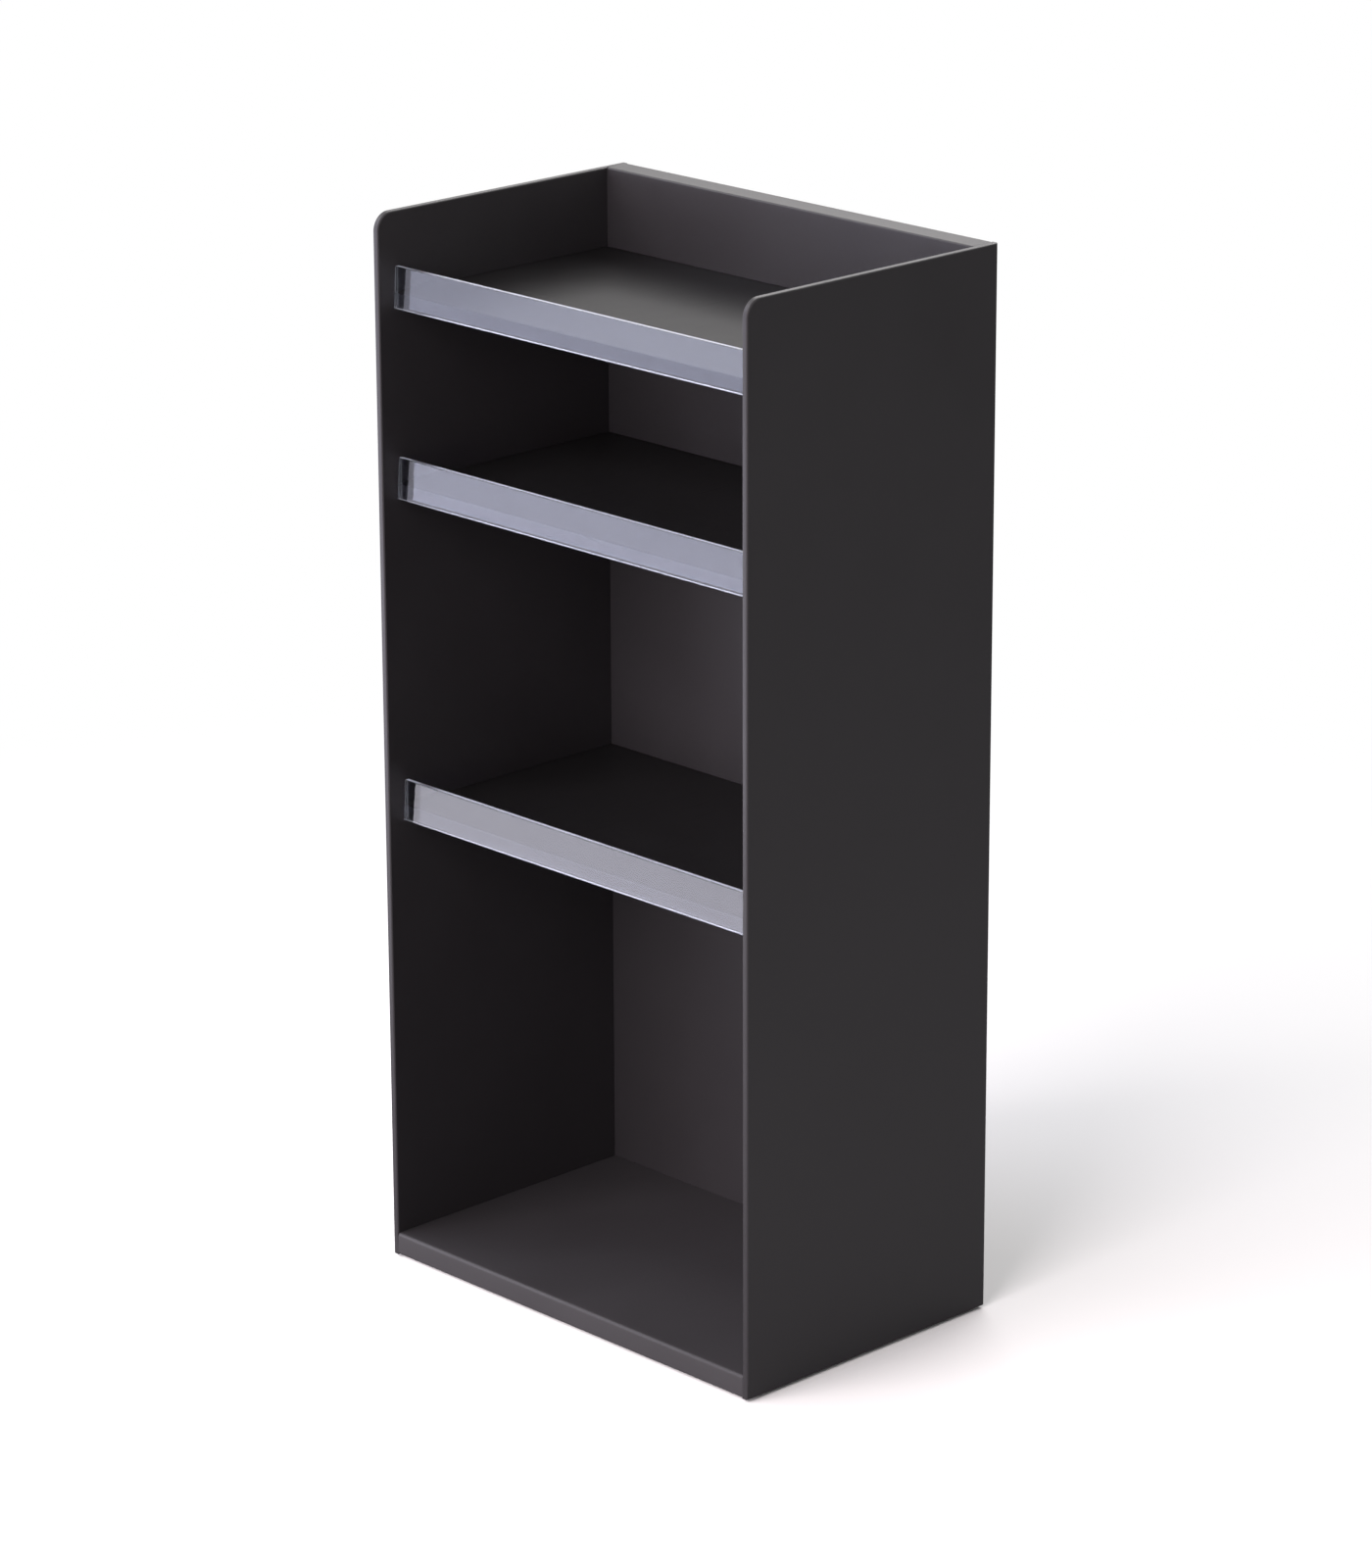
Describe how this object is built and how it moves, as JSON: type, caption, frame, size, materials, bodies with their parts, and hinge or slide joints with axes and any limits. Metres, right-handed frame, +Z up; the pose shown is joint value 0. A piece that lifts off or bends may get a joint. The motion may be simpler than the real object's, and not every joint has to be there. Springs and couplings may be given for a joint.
{
  "type": "nail polish rack",
  "caption": "Upright open-fronted rack of thin black panels, with stacked compartments for polish bottles and small cosmetics behind low clear lips.",
  "frame": {"origin": "middle of the footprint, on the surface that the feet stand on", "axes": "+X to the right as seen from the open front, +Y from the open front to the back, +Z up"},
  "size_m": [0.14, 0.09, 0.295],
  "materials": {
    "body_satin": "satin black ABS with a fine moulded texture",
    "shelf_gloss": "polished black ABS",
    "lip_clear": "clear polished polystyrene",
    "foot_rubber": "matt dark grey silicone rubber"
  },
  "bodies": {
    "root": {"left_side_panel": "body_satin", "right_side_panel": "body_satin", "back_panel": "body_satin", "rear_cover": "body_satin", "base_panel": "body_satin", "lower_shelf": "shelf_gloss", "middle_shelf": "shelf_gloss", "upper_shelf": "shelf_gloss", "lower_lip": "lip_clear", "middle_lip": "lip_clear", "upper_lip": "lip_clear", "foot_front_left": "foot_rubber", "foot_front_right": "foot_rubber", "foot_rear_left": "foot_rubber", "foot_rear_right": "foot_rubber"}
  },
  "joints": []
}
